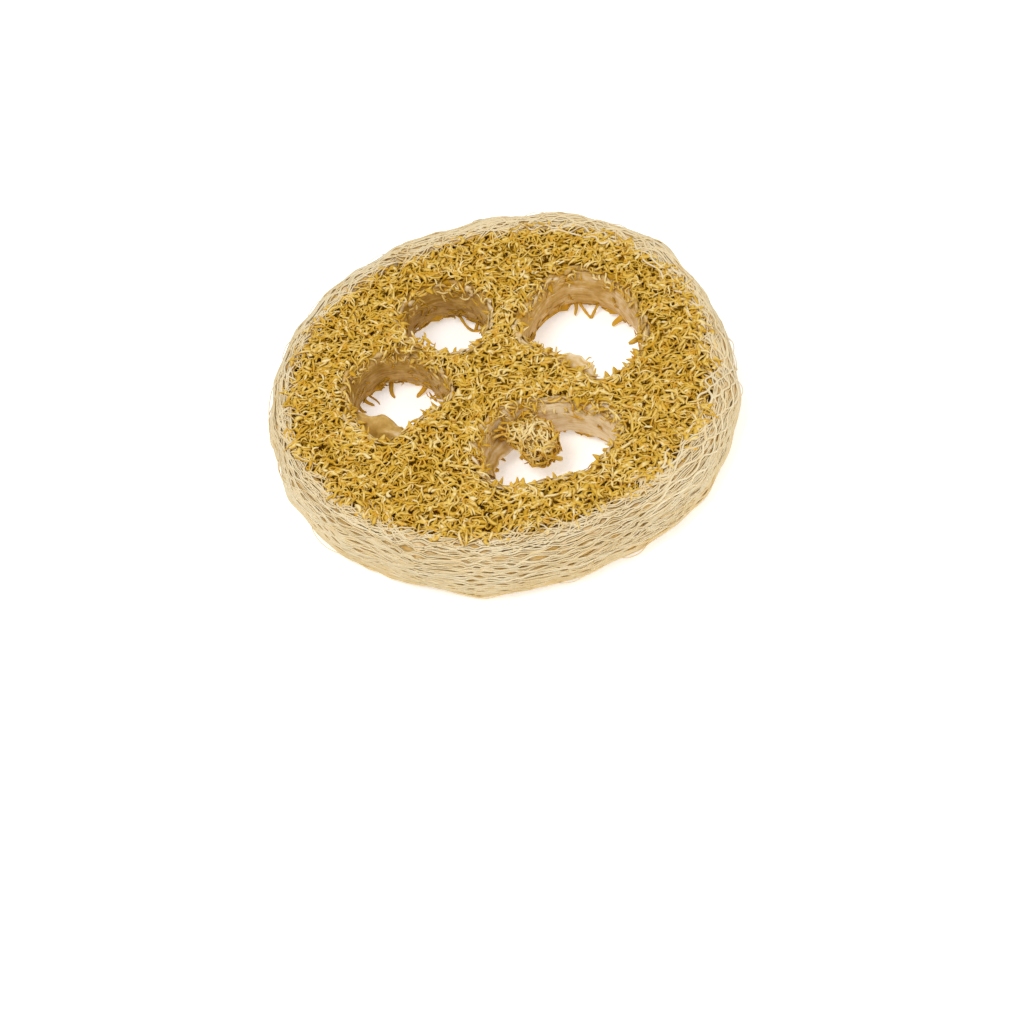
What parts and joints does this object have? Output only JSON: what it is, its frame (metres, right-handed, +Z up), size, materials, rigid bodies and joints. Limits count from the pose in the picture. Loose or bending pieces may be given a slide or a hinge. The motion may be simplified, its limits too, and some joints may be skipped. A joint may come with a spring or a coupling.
{
  "type": "loofah sponge",
  "caption": "Slice of dried loofah gourd: a rough golden fibre mat with open seed chambers through it, in a pale net skin, lying flat.",
  "frame": {"origin": "middle of the slice's box in plan, at the height of the surface that it lies on", "axes": "+Z up, along the gourd's own length and out of the upper cut face; +X to the right and +Y away from the viewer as the picture shows it, with the chamber that holds the knot towards -Y"},
  "size_m": [0.0994, 0.0994, 0.0135],
  "materials": {
    "golden_fibre": "matte dry plant fibre, golden brown, cut ends curled",
    "pale_net": "matte dry plant fibre, pale straw, smooth along the strand"
  },
  "bodies": {
    "root": {"fibre_mat": "golden_fibre", "net_skin": "pale_net"}
  },
  "joints": []
}
